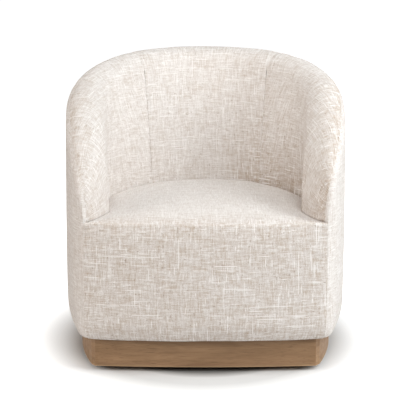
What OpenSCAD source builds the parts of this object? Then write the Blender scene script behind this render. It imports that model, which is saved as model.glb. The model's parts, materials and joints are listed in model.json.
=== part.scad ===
// Swivel barrel chair: upholstered tub on a wood plinth that turns on a low steel disc.
// Millimetres. Origin on the floor at the swivel axis, front towards -Y, right side towards +X.

/* [Body] */
// Width of the upholstered body
chair_w = 800; // [720:5:880]
// Depth of the upholstered body
chair_d = 808; // [740:4:880]
// Height of the top of the back
chair_h = 822; // [780:2:880]
// Height of the upholstery's bottom edge
hem_z = 95; // [80:1:105]
// Height of the seam between seat and front panel
seat_z = 425; // [400:1:450]
// Height of the seat's crown above that seam
seat_crown = 32; // [15:1:45]
// Plan radius of the arms' outer sides
side_r = 1320; // [1200:10:1500]
// Distance from the front of the bow back to the corner seams
bow_rise = 26; // [20:1:36]
// Plan radius of the front corners
corner_r = 90; // [86:1:110]
// Angle that each front corner turns before its seam
corner_turn = 30; // [26:1:34]
// Inward tuck of the bottom edge
hem_tuck = 14; // [6:1:18]
// Height over which the bottom edge tucks in
hem_rise = 60; // [40:1:90]

/* [Shell] */
// Thickness of the arm wall
wall_t = 110; // [106:1:118]
// Extra thickness of the back cushion at the seat
lumbar_t = 94; // [60:1:105]
// Radius of the rim's arc over the back, along the wall
crest_r = 4500; // [3600:100:6000]
// Width of the back that this arc covers, along the wall
crest_w = 360; // [240:10:480]
// Height of the centre of the arm's front curve
arm_z = 414; // [400:1:424]
// Radius of the arm's front curve, along the wall
arm_nose_r = 195; // [170:1:215]
// Angle on the rim roll where the outside panels are sewn on
seam_phi = 35; // [20:1:45]
// Padding on the outside panels
outer_pad = 18; // [14:1:20]
// Thickness of the front panel's padding
front_pad = 35; // [28:1:38]

/* [Plinth] */
// Gap between plinth and floor
plinth_gap = 14; // [12:1:20]
// Inset of the plinth from the body's outline
plinth_inset = 38; // [34:1:44]
// Thickness of the plinth boards
plinth_t = 22; // [16:1:24]

/* [Frame] */
// Thickness of the base ring and the mounting board
board_t = 18; // [15:1:21]
// Thickness of the wall posts and rim rails, across the wall
post_t = 38; // [34:1:38]
// Width of the wall posts, along the wall
post_w = 52; // [40:1:60]
// Side of the square front posts
front_post = 40; // [32:1:42]
// Thickness of the bent inner panels
panel_t = 8; // [5:1:9]
// Thickness of the outer liners
liner_t = 3; // [2:0.5:3]
// Thickness of the seat rails
rail_t = 22; // [18:1:28]
// Height of the seat rails
rail_h = 60; // [45:1:75]
// Height of the seat springs
spring_z = 350; // [335:1:360]
// Wire diameter of the seat springs
spring_d = 4; // [3:0.5:5]
// Number of seat springs
spring_n = 5; // [4:1:6]
// Number of zigzags in each spring
spring_waves = 11; // [8:1:14]
// Width of a spring's zigzag
spring_w = 44; // [36:1:50]

/* [Swivel] */
// Radius of the floor disc
disc_r = 312; // [280:2:325]
// Thickness of the floor disc
disc_t = 6; // [4:1:7]
// Height of the glide pads
pad_h = 3; // [2:0.5:4]
// Radius of the bearing plates
plate_r = 150; // [130:1:180]
// Thickness of the bearing plates
plate_t = 4; // [3:0.5:5]
// Diameter of the bearing balls
ball_d = 9; // [8:0.5:10]
// Number of bearing balls
ball_n = 24; // [12:2:30]
// Radius of the ball circle
ball_circle = 118; // [100:1:125]
// Radius of the centre pivot
pivot_r = 12; // [9:1:14]

/* [Hidden] */

overrun = 1;
hem_lap = 2;
ring_gap = 4;
crown_t = 5;
crown_share = 0.8;
function crown_at(v) = crown_t*sin(180*clamp(v/crown_share));
fit_gap = 0.4;
turn_gap = 0.6;
curve_step = 5;
round_faces = 96;
small_faces = 32;

// plan: the outline's arcs, each [centre, radius], in order from the back centre to the seam
back_r = chair_w/2;
back_c = [0, chair_d/2 - back_r];
side_c = back_c + [back_r - side_r, 0];
front_y = -chair_d/2;
// each side turns inwards until the corner seam is a bow's rise behind the front
corner_lever = [side_r - corner_r + corner_r*cos(corner_turn), corner_r*sin(corner_turn)];
side_turn = asin((back_c[1] - front_y - bow_rise)/norm(corner_lever))
    - atan2(corner_lever[1], corner_lever[0]);
corner_c = side_c + (side_r - corner_r)*facing(90 + side_turn);
seam_turn = 90 + side_turn + corner_turn;
back_len = arc_len(back_r, 90);
side_len = arc_len(side_r, side_turn);
seam_s = back_len + side_len + arc_len(corner_r, corner_turn);

function arc_len(r, turn) = r*turn*PI/180;
function facing(turn) = [sin(turn), cos(turn)];
function mix(a, b, t) = a + (b - a)*t;
function clamp(t) = min(1, max(0, t));
function smooth(t) = let (u = clamp(t)) u*u*(3 - 2*u);
function steps(n) = [for (i = [0:n]) i/n];

// direction that the outline faces at the arc length s from the back centre
function turn_at(s) =
    s < back_len ? s/back_r*180/PI :
    s < back_len + side_len ? 90 + (s - back_len)/side_r*180/PI :
    90 + side_turn + (s - back_len - side_len)/corner_r*180/PI;

// point at the arc length s, the distance w inside the outline
function plan_right(s, w) =
    s < back_len ? back_c + (back_r - w)*facing(turn_at(s)) :
    s < back_len + side_len ? side_c + (side_r - w)*facing(turn_at(s)) :
    corner_c + (corner_r - w)*facing(turn_at(s));
function plan_at(s, w) = let (p = plan_right(abs(s), w)) [s < 0 ? -p[0] : p[0], p[1]];

// front bow: the arc through the two seams and the front centre, the distance w inside
function bow_r(w) = let (p = plan_right(seam_s, w), rise = p[1] - front_y - w)
    (p[0]*p[0] + rise*rise)/(2*rise);
function bow_y(x, w) = front_y + w + bow_r(w) - sqrt(bow_r(w)*bow_r(w) - x*x);

// stations between two arc lengths, no further apart than the curve step at the back
function stations(s0, s1) = let (n = ceil((s1 - s0)/arc_len(back_r, curve_step)))
    [for (i = [0:n]) mix(s0, s1, i/n)];
function outline(w) = let (half = stations(0, seam_s), bow = steps(16), x1 = plan_right(seam_s, w)[0])
    concat([for (s = half) plan_right(s, w)],
        [for (t = bow) if (t > 0 && t < 1) let (x = mix(x1, -x1, t)) [x, bow_y(x, w)]],
        [for (i = [len(half) - 1:-1:1]) plan_at(-half[i], w)]);

// wall: the rim's spine runs inside the roll, and q is the distance along it
roll_r = wall_t/2;
spine_top = chair_h - roll_r;
nose_r = arm_nose_r - roll_r;
nose_s = seam_s - nose_r;
crest_half = crest_w/2;
crest_turn = asin(crest_half/(crest_r - roll_r));
crest_c = [0, spine_top - crest_r + roll_r];
// the shoulder's arc leaves the crest's tangentially and ends on the nose's
nose_c = [nose_s, arm_z];
nose_reach = nose_c - crest_c - (crest_r - arm_nose_r)*facing(crest_turn);
shoulder_r = arm_nose_r - nose_reach*nose_reach/(2*nose_reach*facing(crest_turn));
shoulder_c = crest_c + (crest_r - shoulder_r)*facing(crest_turn);
nose_turn = asin((nose_s - shoulder_c[0])/(shoulder_r - arm_nose_r));
foot_z = seat_z + fit_gap;
crest_len = arc_len(crest_r - roll_r, crest_turn);
shoulder_len = arc_len(shoulder_r - roll_r, nose_turn - crest_turn);
rim_len = crest_len + shoulder_len;
nose_len = arc_len(nose_r, 90 - nose_turn);
spine_len = rim_len + nose_len + arm_z - foot_z;
foot_bulge_share = 0.25;
foot_back_share = 0.55;

// spine point [s, z, direction that the rim faces]
function on_arc(c, r, a) = [c[0] + r*sin(a), c[1] + r*cos(a), a];
function spine(q) =
    q < crest_len ? on_arc(crest_c, crest_r - roll_r, q/crest_len*crest_turn) :
    q < rim_len ? on_arc(shoulder_c, shoulder_r - roll_r,
        mix(crest_turn, nose_turn, (q - crest_len)/shoulder_len)) :
    q < rim_len + nose_len ? on_arc(nose_c, nose_r, mix(nose_turn, 90, (q - rim_len)/nose_len)) :
    [seam_s, arm_z - (q - rim_len - nose_len), 90];
// the spine's distance q and height at the arc length s
function spine_turn(s) = let (t = min(abs(s), seam_s))
    t < crest_half ? asin(t/(crest_r - roll_r)) :
    t < spine(rim_len)[0] ? asin((t - shoulder_c[0])/(shoulder_r - roll_r)) :
    asin(min(1, (t - nose_c[0])/nose_r));
function q_at(s) = let (a = spine_turn(s)) (s < 0 ? -1 : 1)*(
    a < crest_turn ? crest_len*a/crest_turn :
    a < nose_turn ? crest_len + shoulder_len*(a - crest_turn)/(nose_turn - crest_turn) :
    rim_len + nose_len*(a - nose_turn)/(90 - nose_turn));
function spine_z(s) = spine(abs(q_at(s)))[1];
function bulge(q) = roll_r*mix(1, foot_bulge_share, smooth((q - rim_len)/(spine_len - rim_len)));

// the inner face lags behind the outer one towards the seam, so that the arm ends in a slope
lag_start_share = 0.4;
lag_share = 1.12;
lag_s = back_len + side_len*lag_start_share;
lag = wall_t*lag_share;
lumbar_power = 2.2;
function inner_s(s) = abs(s) < lag_s ? s :
    sign(s)*(abs(s) - lag*pow((abs(s) - lag_s)/(seam_s - lag_s), 2));
function lumbar(s, z) = let (a = min(90, turn_at(abs(s))))
    lumbar_t*(1 - pow(a/90, lumbar_power))*clamp((spine_z(s) - z)/(spine_z(s) - seat_z));
function wall_pt(s, z, w) = let (f = w/wall_t, a = plan_at(s, 0), b = plan_at(inner_s(s), wall_t),
    p = mix(a, b, f)) [p[0], p[1], z];
function tuck(z) = let (h = clamp((z - hem_z)/hem_rise)) hem_tuck*(1 - sqrt(1 - (1 - h)*(1 - h)));

// point of the rim roll at the angle phi, the distance d below its skin
function roll_pt(q, phi, d) = let (c = spine(abs(q)), k = sign(q) == 0 ? 1 : sign(q), b = bulge(abs(q)),
    n = b*sin(phi) - d*sin(phi), s = c[0] + n*sin(c[2]), over = max(0, s - seam_s),
    w = roll_r*(1 - cos(phi)) + d*cos(phi),
    p = wall_pt(k*min(s, seam_s), c[1] + n*cos(c[2]), w), dir = facing(seam_turn + 90))
    p + over*[k*dir[0], dir[1], 0];

// soft solids: two sheets of points joined round their edge
module sheet_solid(top, under) {
    n = len(top);
    m = len(top[0]);
    all = concat([for (row = top) each row], [for (row = under) each row]);
    base = n*m;
    polyhedron(all, concat(
        [for (i = [0:n - 2], j = [0:m - 2]) each [
            [i*m + j, (i + 1)*m + j, (i + 1)*m + j + 1],
            [i*m + j, (i + 1)*m + j + 1, i*m + j + 1],
            [base + i*m + j, base + (i + 1)*m + j + 1, base + (i + 1)*m + j],
            [base + i*m + j, base + i*m + j + 1, base + (i + 1)*m + j + 1]]],
        [for (i = [0:n - 2]) each [
            [i*m, base + i*m, base + (i + 1)*m],
            [i*m, base + (i + 1)*m, (i + 1)*m],
            [i*m + m - 1, (i + 1)*m + m - 1, base + (i + 1)*m + m - 1],
            [i*m + m - 1, base + (i + 1)*m + m - 1, base + i*m + m - 1]]],
        [for (j = [0:m - 2]) each [
            [j, j + 1, base + j + 1],
            [j, base + j + 1, base + j],
            [base - m + j, 2*base - m + j, 2*base - m + j + 1],
            [base - m + j, 2*base - m + j + 1, base - m + j + 1]]]));
}

// a closed solid through rings of points, with a point at each end
module ring_solid(rings, low, high) {
    n = len(rings);
    m = len(rings[0]);
    polyhedron(concat([for (r = rings) each r], [low, high]), concat(
        [for (i = [0:n - 2], j = [0:m - 1]) each let (k = (j + 1)%m) [
            [i*m + j, (i + 1)*m + k, (i + 1)*m + j],
            [i*m + j, i*m + k, (i + 1)*m + k]]],
        [for (j = [0:m - 1]) each let (k = (j + 1)%m) [
            [n*m, k, j],
            [n*m + 1, (n - 1)*m + j, (n - 1)*m + k]]]));
}

// outside panels, from the hem over the roll to the rim seam
panel_rows_share = [0, 0.025, 0.06, 0.11, 0.3, 0.55, 0.8, 1];
seam_slit = 0.6;
function outside_row(s, d) = let (top = spine_z(s), q = q_at(s), low = d > 0 ? hem_z + hem_lap : hem_z)
    concat([for (t = panel_rows_share) let (z = mix(low, top, t)) wall_pt(s, z, d + (d > 0 ? 0 : tuck(z)))],
        [for (phi = [seam_phi/2, seam_phi - seam_slit]) roll_pt(q, phi, d)]);
module outside(list) {
    color("linen") sheet_solid([for (s = list) outside_row(s, 0)],
        [for (s = list) outside_row(s, outer_pad)]);
}

// inside panels, from the rim seam over the roll and down beside the seat
foot_lift = 3*spring_d;
inside_foot_z = spring_z + foot_lift;
back_seam_top = 39;
back_seam_low = 48;
inner_depth = wall_t - liner_t - outer_pad - post_t - panel_t - 5*fit_gap;
roll_angles = [seam_phi + seam_slit, 60, 85, 110, 135, 160, 180];
down_share = [0.12, 0.3, 0.5, 0.7, 0.85, 1];
function backing(phi) = mix(outer_pad, inner_depth, clamp((phi - seam_phi)/(180 - seam_phi)));
function inside_row(q, foot, backed, web) = let (c0 = spine(abs(q)), c = [sign(q)*c0[0], c0[1]])
    concat([for (phi = roll_angles) roll_pt(q, phi, backed ? backing(phi) : 0)],
        [for (v = down_share) let (s = mix(c[0], foot[0], v), z = mix(c[1], foot[1], v),
            skin = wall_t + lumbar(s, z) + crown_at(v))
            wall_pt(s, z, backed ? wall_t - mix(inner_depth, web, clamp(4*v)) : skin)]);
module inside(qs, foot0, foot1, web) {
    rows = [for (q = qs) let (t = (q - qs[0])/(qs[len(qs) - 1] - qs[0]))
        [q, [mix(foot0[0], foot1[0], t), mix(foot0[1], foot1[1], pow(t, 3))]]];
    color("linen") sheet_solid([for (r = rows) inside_row(r[0], r[1], false, web)],
        [for (r = rows) inside_row(r[0], r[1], true, web)]);
}
outer_split = arc_len(back_r, 55);
back_q = arc_len(back_r, back_seam_top);
back_foot_s = arc_len(back_r, back_seam_low);
slit_s = fit_gap;

module outside_back() { outside([for (t = steps(22)) mix(-outer_split, outer_split, t)]); }
// stations along the rim: even along the crest, and closer together round the arm's nose
even_share = 0.9;
rim_step = 4;
function rim_qs(q0, q1) = let (n = ceil((rim_len*even_share - q0)/arc_len(back_r, rim_step))) concat(
    [for (t = steps(n)) mix(q0, rim_len*even_share, t)],
    [for (t = steps(10)) if (t > 0) mix(rim_len*even_share, q1, t)]);
module outside_arm_right() {
    outside([for (q = rim_qs(q_at(outer_split + slit_s), min(spine_len, rim_len + nose_len))) spine(q)[0]]);
}
module outside_arm_left() { mirror([1, 0, 0]) outside_arm_right(); }
module inside_back() {
    inside([for (t = steps(14)) mix(-back_q, back_q, t)], [-back_foot_s, inside_foot_z],
        [back_foot_s, inside_foot_z], inner_depth);
}
module inside_arm_right() {
    inside(rim_qs(back_q + slit_s, spine_len), [back_foot_s + slit_s, inside_foot_z],
        [seam_s - foot_back_share*wall_t, foot_z], inner_depth);
}
module inside_arm_left() { mirror([1, 0, 0]) inside_arm_right(); }

// seat: a closed crowned cushion whose outline follows the inside panels and the front panel
cover_t = 5;
seat_gap = 4.5;
seat_bed = spring_z + spring_d + cover_t + 2*fit_gap;
seat_mid_share = 0.37;
seat_mid = [0, front_y + chair_d*seat_mid_share];
bevel_share = 1 - (front_pad + seat_gap)/(chair_d*seat_mid_share);
function plan_of(p) = [p[0], p[1]];
seat_half = concat(
    [for (s = stations(0, seam_s)) plan_of(wall_pt(s, seat_z, wall_t + lumbar(s, seat_z) + seat_gap))],
    [for (i = [len(roll_angles) - 1:-1:0]) plan_of(roll_pt(spine_len, roll_angles[i], -2*fit_gap))]);
seat_outline = let (n = len(seat_half), x1 = seat_half[n - 1][0]) concat(seat_half,
    [for (t = steps(12)) let (x = mix(x1, -x1, t)) [x, bow_y(x, 0)]],
    [for (i = [n - 1:-1:1]) [-seat_half[i][0], seat_half[i][1]]]);
// rings of the top, as shares of the outline; the crown's height follows the place, not the ring
crown_ring_shares = [1, 0.985, 0.95, 0.9, 0.8, 0.6, 0.3];
seat_edge_h = 15;
seat_edge_r = 40;
seat_side_share = 1.19;
seat_back_share = 0.47;
function seat_top(x, y, share) = let (
    rise = clamp((y - bow_y(clamp(abs(x)/inner_half)*inner_half, 0))/front_rise),
    front = sqrt(1 - pow(1 - rise, 2)),
    dome = 1 - seat_side_share*pow(x/inner_half, 2)
        - seat_back_share*pow(max(0, y - back_c[1])/(back_r - wall_t - lumbar_t), 2),
    inside = share == 0 ? seat_edge_r : norm([x, y] - seat_mid)*(1/share - 1),
    fall = 1 - sqrt(1 - pow(1 - clamp(inside/seat_edge_r), 2)))
    seat_z + fit_gap + seat_crown*(front*max(0, dome) + rise*min(0, dome))
        - seat_edge_h*fall*smooth((y - edge_start)/front_rise);
inner_half = back_r - wall_t;
front_rise_share = 0.28;
front_rise = chair_d*front_rise_share;
edge_start = front_y + front_rise/2;
function ring_at(share, z) = [for (p = seat_outline) let (q = mix(seat_mid, p, share)) [q[0], q[1], z]];
function top_ring(share) = [for (p = seat_outline) let (q = mix(seat_mid, p, share))
    [q[0], q[1], seat_top(q[0], q[1], share)]];
module seat_cushion() color("linen") ring_solid(
    concat([ring_at(bevel_share, seat_bed), ring_at(bevel_share, seat_z - front_pad)],
        [for (share = crown_ring_shares) top_ring(share)]),
    [seat_mid[0], seat_mid[1], seat_bed], [seat_mid[0], seat_mid[1], seat_top(0, seat_mid[1], 0)]);

// front panel, bowed in plan and bevelled under the seat's edge
front_rows_share = [0, 0.025, 0.06, 0.13, 0.4, 0.7, 1];
belly_t = 4;
mitre_share = 0.75;
function front_pt(t, z, d, out) = let (x = t*(plan_at(seam_s, 0)[0] - 2*fit_gap - mitre_share*d))
    [x, bow_y(x, 0) + d - out, z];
module front_panel() {
    across = [for (t = steps(16)) 1 - 2*t];
    low = hem_z + 2*hem_lap;
    color("linen") sheet_solid(
        [for (t = across) [for (v = front_rows_share) let (z = mix(hem_z, seat_z, v))
            front_pt(t, z, tuck(z), belly_t*sin(180*v)*(1 - t*t))]],
        [for (t = across) [for (v = front_rows_share)
            front_pt(t, mix(low, seat_z - front_pad, v), front_pad, 0)]]);
}

// wall bands: parts of the frame that follow the wall's curve
function band_pts(s0, s1, w0, w1) = let (list = stations(s0, s1), n = len(list)) concat(
    [for (s = list) let (p = wall_pt(s, 0, w0)) [p[0], p[1]]],
    [for (i = [n - 1:-1:0]) let (p = wall_pt(list[i], 0, w1)) [p[0], p[1]]]);
module band(s0, s1, w0, w1, z0, z1) translate([0, 0, z0]) linear_extrude(z1 - z0)
    polygon(band_pts(s0, s1, w0, w1));
// keeps what lies lower than the rim's spine, less a drop, as seen from the side
module under_rim(drop, w) rotate([90, 0, 90]) linear_extrude(chair_w, center = true)
    polygon(concat([[chair_d, 0], [chair_d, spine_z(0) - drop]],
        [for (s = stations(0, seam_s)) [wall_pt(s, 0, w)[1], spine_z(s) - drop]],
        [[wall_pt(seam_s, 0, w)[1], 0]]));
module both_sides() {
    children();
    mirror([1, 0, 0]) children();
}

liner_w = outer_pad + fit_gap;
post_w0 = liner_w + liner_t + fit_gap;
post_w1 = post_w0 + post_t;
panel_w0 = post_w1 + fit_gap;
panel_w1 = panel_w0 + panel_t;
frame_z = hem_z + hem_lap;
post_z = frame_z + board_t;
rail_shares = [-0.2, 1.1];
rail_end_share = 1.55;
rail_lift = rail_shares[0]*post_t;
rail_drop = rail_shares[1]*post_t;
rail_end_s = seam_s - rail_end_share*roll_r;
back_split = arc_len(back_r, 45);
post_half = post_w/2;
arm_post_share = 0.2;
arm_post_s = [back_len + side_len*arm_post_share, rail_end_s - post_half];
back_post_turns = [22, 62];
back_post_s = [for (turn = back_post_turns) arc_len(back_r, turn)];

module rim_rail(s0, s1) intersection() {
    band(s0, s1, post_w0, post_w1, seat_z, chair_h);
    difference() {
        under_rim(rail_lift, post_w0);
        translate([0, 0, -overrun]) under_rim(rail_drop, post_w0);
    }
}
module wall_post(s) intersection() {
    band(s - post_half, s + post_half, post_w0, post_w1, post_z, chair_h);
    under_rim(rail_drop + overrun, post_w0);
}
module top_rail_back() color("burlywood") rim_rail(-back_split, back_split);
module arm_rail_right() color("burlywood") rim_rail(back_split, rail_end_s);
module arm_rail_left() mirror([1, 0, 0]) arm_rail_right();
module arm_posts() color("tan") both_sides() for (s = arm_post_s) wall_post(s);
module back_posts() color("tan") both_sides() for (s = back_post_s) wall_post(s);

// the front posts stand behind the front liner, just inside the corner's arc
front_post_share = 0.4;
front_post_x = corner_c[0] + front_post*front_post_share;
liner_back = front_pad + liner_t + 2*fit_gap;
front_post_c = [front_post_x, bow_y(front_post_x + front_post/2, 0) + liner_back + front_post/2];
module front_posts() color("tan") both_sides()
    translate([front_post_c[0] - front_post/2, front_post_c[1] - front_post/2, post_z])
        cube([front_post, front_post, seat_bed - fit_gap - post_z]);

panel_drop_share = 0.15;
module inner_panel_right() color("wheat") intersection() {
    band(back_split, seam_s - roll_r, panel_w0, panel_w1, post_z, chair_h);
    under_rim(roll_r*panel_drop_share, panel_w0);
}
module inner_panel_left() mirror([1, 0, 0]) inner_panel_right();
strap_h = 50;
strap_t = 2;
strap_n = 4;
module back_webbing() color("dimgray") for (i = [0:strap_n - 1]) {
    z = mix(seat_z - strap_h, spine_z(back_split) - 2*strap_h, i/(strap_n - 1));
    band(-back_split + fit_gap, back_split - fit_gap, panel_w0, panel_w0 + strap_t, z, z + strap_h);
}

module outer_liner(s0, s1) color("tan") intersection() {
    band(s0, s1, liner_w, liner_w + liner_t, frame_z, chair_h);
    under_rim(roll_r/2, liner_w);
}
module outer_liner_back() outer_liner(-outer_split, outer_split);
module outer_liner_right() outer_liner(outer_split + slit_s, seam_s - liner_w);
module outer_liner_left() mirror([1, 0, 0]) outer_liner_right();
module front_liner() color("tan") {
    x1 = front_post_c[0];
    w = front_pad + fit_gap;
    translate([0, 0, frame_z]) linear_extrude(seat_bed - fit_gap - frame_z) polygon(concat(
        [for (t = steps(12)) let (x = mix(x1, -x1, t)) [x, bow_y(x, 0) + w]],
        [for (t = steps(12)) let (x = mix(-x1, x1, t)) [x, bow_y(x, 0) + w + liner_t]]));
}

// seat frame, springs and their cover
rail_z = spring_z - rail_h;
rail_x = front_post_c[0] - front_post/2;
front_rail_y = front_post_c[1] + front_post/2 - rail_t;
back_rail_share = 0.39;
back_rail_y = back_c[1] + back_r*back_rail_share;
// keeps what lies inside the wall
module inside_wall() intersection() {
    children();
    linear_extrude(chair_h) polygon(outline(panel_w1 + fit_gap));
}
module seat_rail_front() color("burlywood") translate([-rail_x, front_rail_y, rail_z])
    cube([2*rail_x, rail_t, rail_h]);
module seat_rail_back() color("burlywood") inside_wall()
    translate([-chair_w/2, back_rail_y, rail_z]) cube([chair_w, rail_t, rail_h]);
module seat_rail_sides() color("burlywood") inside_wall() both_sides()
    translate([rail_x, front_post_c[1] + front_post/2, rail_z])
        cube([rail_t, back_rail_y - front_post_c[1] - front_post/2, rail_h]);
corner_w = 70;
corner_h_share = 0.8;
module corner_block(turn) rotate(turn) linear_extrude(rail_h*corner_h_share)
    polygon([[0, 0], [corner_w, 0], [0, corner_w]]);
module seat_corner_blocks() color("tan") inside_wall() both_sides() {
    translate([-rail_x, back_rail_y, rail_z]) corner_block(-90);
    translate([-rail_x, front_rail_y + rail_t, rail_z]) corner_block(0);
}

spring_y0 = front_rail_y + rail_t/2;
spring_y1 = back_rail_y + rail_t/2;
spring_lead = rail_t;
wave_points = 6;
function spring_path() = concat([[0, spring_y0]],
    [for (i = [0:spring_waves*wave_points]) let (t = i/(spring_waves*wave_points))
        [spring_w/2*sin(360*spring_waves*t), mix(spring_y0 + spring_lead, spring_y1 - spring_lead, t)]],
    [[0, spring_y1]]);
function along(pts, i) = let (a = pts[max(0, i - 1)], b = pts[min(len(pts) - 1, i + 1)], d = b - a) d/norm(d);
module wire(pts, d) polygon(concat(
    [for (i = [0:len(pts) - 1]) let (t = along(pts, i)) pts[i] + d/2*[-t[1], t[0]]],
    [for (i = [len(pts) - 1:-1:0]) let (t = along(pts, i)) pts[i] - d/2*[-t[1], t[0]]]));
spring_spread_share = 0.76;
spring_xs = [for (i = [0:spring_n - 1]) rail_x*spring_spread_share*(2*i/(spring_n - 1) - 1)];
module seat_springs() color("silver") for (x = spring_xs) translate([x, 0, spring_z])
    linear_extrude(spring_d) wire(spring_path(), spring_d);
clip_w = 18;
clip_t = 2;
module spring_clips() color("gray") for (x = spring_xs, y = [spring_y0, spring_y1])
    translate([x - clip_w/2, y - rail_t/4, spring_z]) difference() {
        cube([clip_w, rail_t/2, spring_d + clip_t]);
        translate([clip_w/2 - spring_d/2 - fit_gap/2, -overrun, -overrun])
            cube([spring_d + fit_gap, rail_t/2 + 2*overrun, spring_d + overrun + fit_gap/2]);
    }
module spring_cover() color("gray") inside_wall()
    translate([-rail_x, spring_y0, spring_z + spring_d + clip_t + fit_gap])
    cube([2*rail_x, spring_y1 - spring_y0, cover_t - clip_t]);

// base ring and dust cover
ring_w = 80;
module base_frame() color("burlywood") translate([0, 0, frame_z]) linear_extrude(board_t) difference() {
    intersection() {
        polygon(outline(outer_pad + liner_t + 3*fit_gap + ring_gap));
        polygon(concat([for (t = steps(16)) let (x = chair_w/2 - chair_w*t)
            [x, bow_y(x, 0) + liner_back]],
            [[-chair_w/2, chair_d/2], [chair_w/2, chair_d/2]]));
    }
    polygon(outline(ring_w));
}
cloth_t = 1;
module dust_cover() color("dimgray") translate([0, 0, frame_z - cloth_t])
    linear_extrude(cloth_t) polygon(outline(plinth_inset + plinth_t + fit_gap));

// plinth: a bowed front board and two curved side boards on a mounting board
plinth_w1 = plinth_inset + plinth_t;
plinth_h = frame_z - plinth_gap;
function plan_band(s0, s1, w0, w1) = let (list = stations(s0, s1), n = len(list)) concat(
    [for (s = list) plan_at(s, w0)], [for (i = [n - 1:-1:0]) plan_at(list[i], w1)]);
function bow_pts(w, flip) = let (x1 = plan_at(seam_s, w)[0])
    [for (t = steps(16)) let (x = mix(x1, -x1, t)*flip) [x, bow_y(x, w)]];
module plinth_front() color("peru") translate([0, 0, plinth_gap]) linear_extrude(plinth_h)
    polygon(concat(bow_pts(plinth_inset, 1), bow_pts(plinth_w1, -1)));
module plinth_side_right() color("peru") translate([0, 0, plinth_gap]) linear_extrude(plinth_h)
    polygon(plan_band(0, seam_s, plinth_inset, plinth_w1));
module plinth_side_left() mirror([1, 0, 0]) plinth_side_right();
splice_turn = 11;
splice_s = arc_len(back_r, splice_turn);
module plinth_back_splice() color("tan") translate([0, 0, block_z]) linear_extrude(block_h)
        polygon(plan_band(-splice_s, splice_s, plinth_w1 + fit_gap, plinth_w1 + plinth_t));
block_w = 46;
module plinth_corner_blocks() color("tan") both_sides() intersection() {
    translate([0, 0, block_z]) linear_extrude(block_h) polygon(outline(plinth_w1 + fit_gap));
    translate([plan_at(seam_s, plinth_w1)[0] - block_w, plan_at(seam_s, plinth_w1)[1] - overrun, 0])
        cube([2*block_w, block_w, chair_h]);
}
cleat_w = 18;
cleat_turns = [12, 48];
cleat_shares = [0.9, 0.5];
cleat_s = [[for (turn = cleat_turns) arc_len(back_r, turn)],
    [back_len*cleat_shares[0], back_len + side_len*cleat_shares[1]]];
module plinth_cleats() color("tan") translate([0, 0, plinth_gap + 2*fit_gap])
    linear_extrude(board_z - plinth_gap - 2*fit_gap) both_sides() for (c = cleat_s)
        polygon(plan_band(c[0], c[1], plinth_w1 + fit_gap, plinth_w1 + cleat_w));
module pivot_hole(z, t) translate([0, 0, z - overrun])
    cylinder(t + 2*overrun, r = pivot_r + turn_gap, $fn = round_faces);
module mount_board() color("burlywood") difference() {
    translate([0, 0, board_z]) linear_extrude(board_t) polygon(outline(plinth_w1 + fit_gap));
    pivot_hole(board_z, board_t);
    bolt_holes(upper_bolt_circle, board_z - overrun, board_z + bolt_len, bolt_r);
}

// swivel: disc on glides, hollow riser, ball ring between two plates, and a headed pivot
disc_z = pad_h;
riser_z = disc_z + disc_t;
riser_h = 15;
riser_t = 3;
lower_z = riser_z + riser_h;
race_share = 0.55;
race_gap = ball_d*race_share;
race_clear = 0.3;
upper_z = lower_z + plate_t + race_gap;
board_z = upper_z + plate_t;
block_z = board_z + board_t + fit_gap;
block_h = frame_z - cloth_t - fit_gap - block_z;
ball_z = lower_z + plate_t + race_gap/2;
bolt_r = 3;
bolt_head_r = 5.5;
bolt_head_h = 2.4;
bolt_len = 12;
lower_bolt_circle = plate_r - 2*bolt_head_r;
upper_bolt_circle = ball_circle - ball_d - 2*bolt_head_r;
bolt_n = 4;
pad_r = 14;
pad_n = 8;
cage_t = 1.2;
washer_t = 2.5;
washer_r = pivot_r*2;
head_r = pivot_r*1.5;
head_h = 8;

module bolt_holes(circle_r, z0, z1, r) for (i = [0:bolt_n - 1]) rotate(45 + 90*i)
    translate([circle_r, 0, z0]) cylinder(z1 - z0, r = r, $fn = small_faces);
module glide_pads() color("dimgray") for (i = [0:pad_n - 1]) rotate(360/pad_n*i)
    translate([disc_r - 2*pad_r, 0, 0]) cylinder(pad_h, r = pad_r, $fn = small_faces);
module base_disc() color("black") translate([0, 0, disc_z]) rotate_extrude($fn = round_faces)
    polygon([[0, 0], [disc_r - disc_t/4, 0], [disc_r, disc_t/4], [disc_r, disc_t/2],
        [disc_r - disc_t/2, disc_t], [0, disc_t]]);
// riser: its bore, its inner shoulder, its foot inside and outside, and its flange
riser_shares = [0.55, 0.94, 1.05, 1.07, 1.3];
riser_r = riser_shares*plate_r;
module base_riser() color("black") difference() {
    translate([0, 0, riser_z]) rotate_extrude($fn = round_faces) polygon([
        [riser_r[0], riser_h - riser_t], [riser_r[1], riser_h - riser_t], [riser_r[2], 0],
        [riser_r[4], 0], [riser_r[4], riser_t], [riser_r[3], riser_t], [plate_r, riser_h],
        [riser_r[0], riser_h]]);
    bolt_holes(lower_bolt_circle, riser_z, lower_z + overrun, bolt_r);
}
module race(z) translate([0, 0, z]) rotate_extrude($fn = round_faces)
    translate([ball_circle, 0]) circle(ball_d/2 + race_clear, $fn = small_faces);
module lower_plate() color("gray") difference() {
    translate([0, 0, lower_z]) cylinder(plate_t, r = plate_r, $fn = round_faces);
    translate([0, 0, lower_z - overrun]) cylinder(plate_t + 2*overrun, r = pivot_r, $fn = round_faces);
    race(ball_z);
    bolt_holes(lower_bolt_circle, lower_z - overrun, lower_z + plate_t + overrun, bolt_r);
}
module lower_bolts() color("silver") {
    bolt_holes(lower_bolt_circle, lower_z - bolt_len/2, lower_z + plate_t, bolt_r);
    bolt_holes(lower_bolt_circle, lower_z + plate_t, lower_z + plate_t + bolt_head_h, bolt_head_r);
}
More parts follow.
